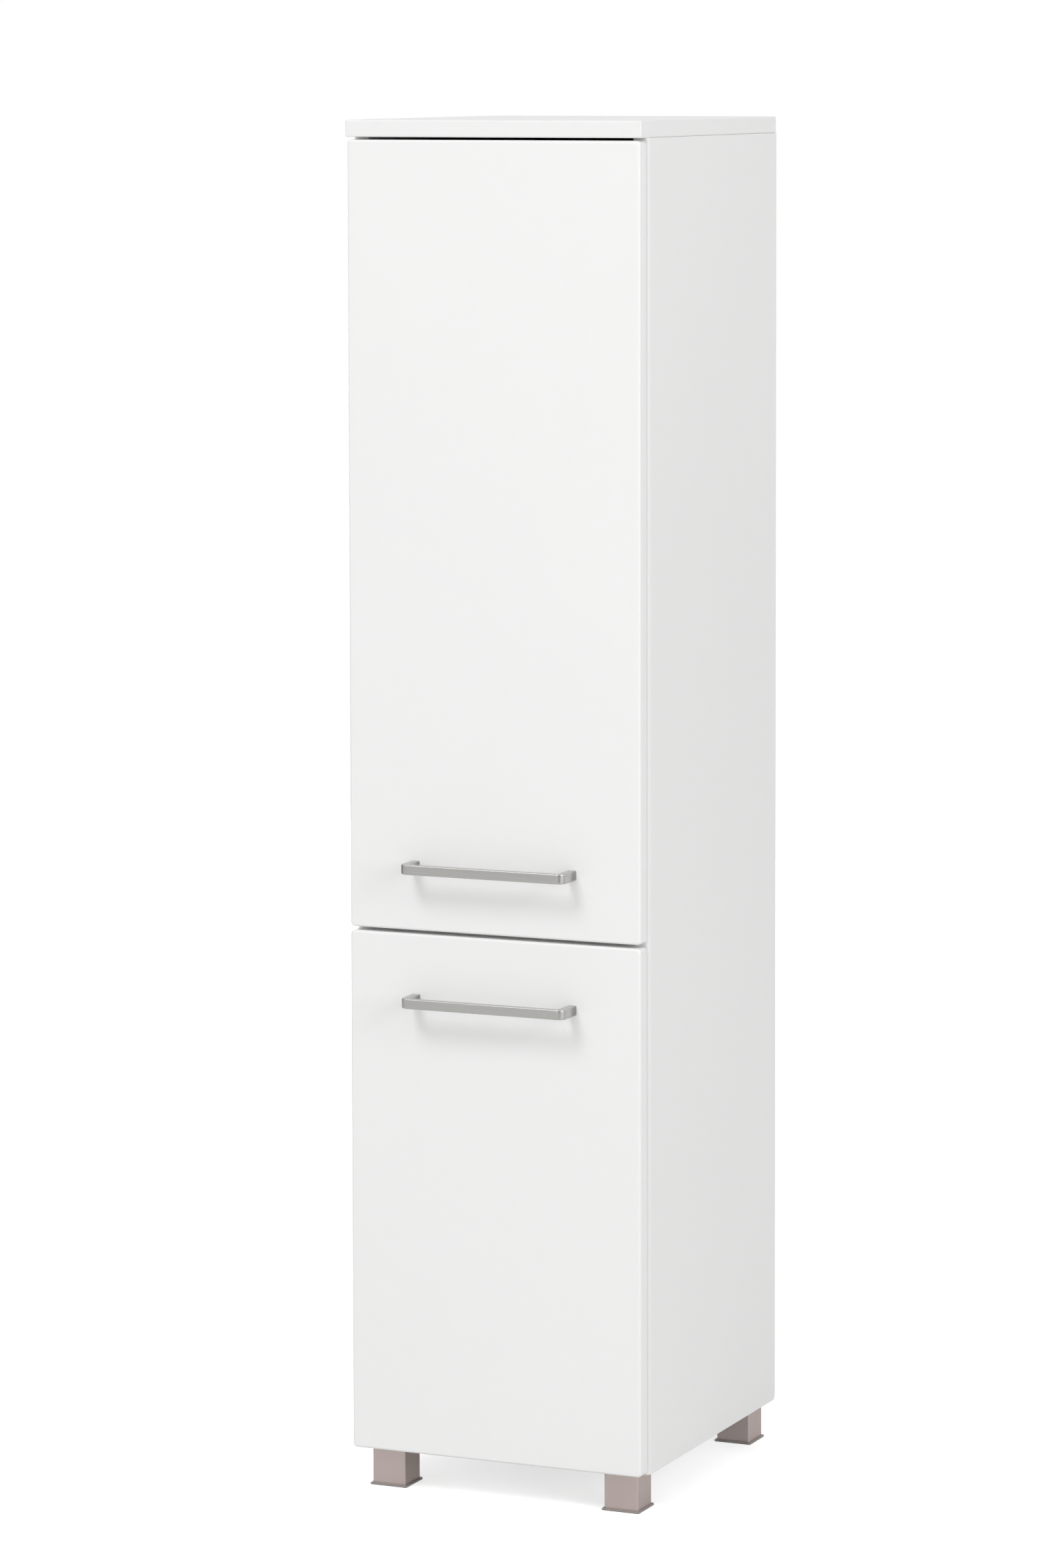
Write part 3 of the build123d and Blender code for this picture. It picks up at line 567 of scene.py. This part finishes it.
class CABINET_OT_stage(Operator):
    """Set up the floor, the lights and the camera"""

    bl_idname = "cabinet.stage"
    bl_label = "Stage"

    def execute(self, context):
        stage = context.scene.cabinet.stage
        self.camera(context.scene, stage)
        self.sky(context.scene, stage)
        self.floor(stage)
        middle = (0.0, -0.1, 0.65)
        for name, power, sides, place, mirrored in (
                ("key", stage.key, (2.1, 2.1), (-1.1, -4.3, 5.3), True),
                ("front", stage.front, (2.0, 2.0), (0.0, -5.0, 0.7), False),
                ("side", stage.side, (0.9, 2.4), (3.9, -1.75, 1.8), True),
                ("back", stage.back, (2.4, 1.0), (-3.2, 3.4, 0.8), True)):
            self.lamp(context.scene, name, power, sides, place, middle, mirrored)
        for name, reach, place in (
                ("flag_by_camera", (0.7, 1.5), (1.75, -3.6, 0.9)),
                ("flag_behind_left", (1.4, 1.5), (-2.9, 0.9, 0.9))):
            self.flag(name, reach, place, middle)
        context.scene.view_settings.view_transform = "Standard"
        return {"FINISHED"}

    def camera(self, scene, stage):
        data = bpy.data.cameras.new("camera")
        data.lens = stage.lens
        data.shift_y = stage.shift
        data.clip_end = 100.0
        camera = bpy.data.objects.new("camera", data)
        camera.matrix_world = (
            Matrix.Translation(stage.eye)
            @ Matrix.Rotation(stage.yaw, 4, "Z")
            @ Matrix.Rotation(math.pi / 2 + stage.pitch, 4, "X")
            @ Matrix.Rotation(stage.roll, 4, "Z"))
        scene.collection.objects.link(camera)
        scene.camera = camera

    def rays(self, start):
        """Two switches: 1 for the camera's rays, and 1 for rays off a gloss or through glass."""
        camera, glossy, through = [
            start.node("LightPath", output=name)
            for name in ("Is Camera Ray", "Is Glossy Ray", "Is Transmission Ray")]
        return camera, glossy.larger(through)

    def sky(self, scene, stage):
        """An even world, plain white where it is seen and softer where it lights the cabinet."""
        world = bpy.data.worlds.new("sky")
        start = emptied(world)
        light, white = [
            start.node("Background", {}, {"Color": (1, 1, 1, 1), "Strength": strength})
            for strength in (stage.sky, 1.0)]
        camera, metal = self.rays(start)
        both = start.node("MixShader", {}, {0: camera.larger(metal), 1: light, 2: white})
        start.node("OutputWorld", {}, {"Surface": both})
        scene.world = world

    def floor(self, stage):
        """A pale floor that reads as white round the shadow of the cabinet."""
        material = bpy.data.materials.new("floor")
        start = emptied(material)
        pale = 0.8
        seen_white = 1.02
        metal_lift = 0.1
        matt = start.node("BsdfDiffuse", {}, {"Color": (pale, pale, pale, 1.0)})
        camera, metal = self.rays(start)
        lift, trace, dark = [
            start.node("Emission", {}, {"Color": (1, 1, 1, 1), "Strength": strength})
            for strength in (seen_white - pale * stage.sky, metal_lift, 0.0)]
        reflected = start.node("MixShader", {}, {0: metal, 1: dark, 2: trace})
        seen = start.node("MixShader", {}, {0: camera, 1: reflected, 2: lift})
        whole = start.node("AddShader", {}, {0: matt, 1: seen})
        start.node("OutputMaterial", {}, {"Surface": whole})
        shape = bmesh.new()
        bmesh.ops.create_grid(shape, x_segments=1, y_segments=1, size=20.0)
        floor = add_object("floor", shape, material)

    def flag(self, name, reach, place, aim):
        """A dark card, twice its reach across, that only reflections see. It draws the dark
        bands on rounded metal."""
        material = bpy.data.materials.new(name)
        start = emptied(material)
        dark = 0.03
        cloth = start.node("BsdfDiffuse", {}, {"Color": (dark, dark, dark, 1.0)})
        start.node("OutputMaterial", {}, {"Surface": cloth})
        shape = bmesh.new()
        bmesh.ops.create_grid(shape, x_segments=1, y_segments=1, size=1.0)
        bmesh.ops.scale(shape, vec=(*reach, 1.0), verts=shape.verts)
        turn = (Vector(aim) - Vector(place)).to_track_quat("Z", "Y").to_matrix().to_4x4()
        bmesh.ops.transform(shape, matrix=Matrix.Translation(place) @ turn, verts=shape.verts)
        card = add_object(name, shape, material)
        card.visible_camera = False
        card.visible_diffuse = False
        card.visible_transmission = False
        card.visible_shadow = False

    def lamp(self, scene, name, power, sides, place, aim, mirrored):
        """A rectangular lamp of this width and height, turned towards a point. Metal shows
        it only if it is mirrored."""
        data = bpy.data.lights.new(name, "AREA")
        data.energy = power
        data.shape = "RECTANGLE"
        data.size, data.size_y = sides
        lamp = bpy.data.objects.new(name, data)
        lamp.visible_glossy = mirrored
        lamp.location = place
        lamp.rotation_euler = (Vector(aim) - Vector(place)).to_track_quat("-Z", "Y").to_euler()
        scene.collection.objects.link(lamp)


class CABINET_PT_pieces(Panel):
    """Lists the cabinet's pieces and what a user would change"""

    bl_label = "Cabinet"
    bl_idname = "CABINET_PT_pieces"
    bl_space_type = "VIEW_3D"
    bl_region_type = "UI"
    bl_category = "Cabinet"

    def draw(self, context):
        cabinet = context.scene.cabinet
        for operator in operators:
            self.layout.operator(operator.bl_idname)
        for group in (cabinet.finishes, cabinet.handles, cabinet.fittings, cabinet.stage):
            box = self.layout.box()
            for name in group.__annotations__:
                box.prop(group, name)


property_groups = (CabinetFinishes, CabinetHandles, CabinetFittings, CabinetStage, Cabinet)
operators = (CABINET_OT_doors, CABINET_OT_boards, CABINET_OT_handles, CABINET_OT_feet,
             CABINET_OT_hinges, CABINET_OT_fasteners, CABINET_OT_stage)
classes = property_groups + operators + (CABINET_PT_pieces,)


def register():
    for cls in classes:
        bpy.utils.register_class(cls)
    bpy.types.Scene.cabinet = PointerProperty(type=Cabinet)


def unregister():
    del bpy.types.Scene.cabinet
    for cls in reversed(classes):
        bpy.utils.unregister_class(cls)


def main():
    register()
    for operator in operators:
        group, name = operator.bl_idname.split(".")
        getattr(getattr(bpy.ops, group), name)()
    bpy.context.view_layer.update()


if __name__ == "__main__":
    main()
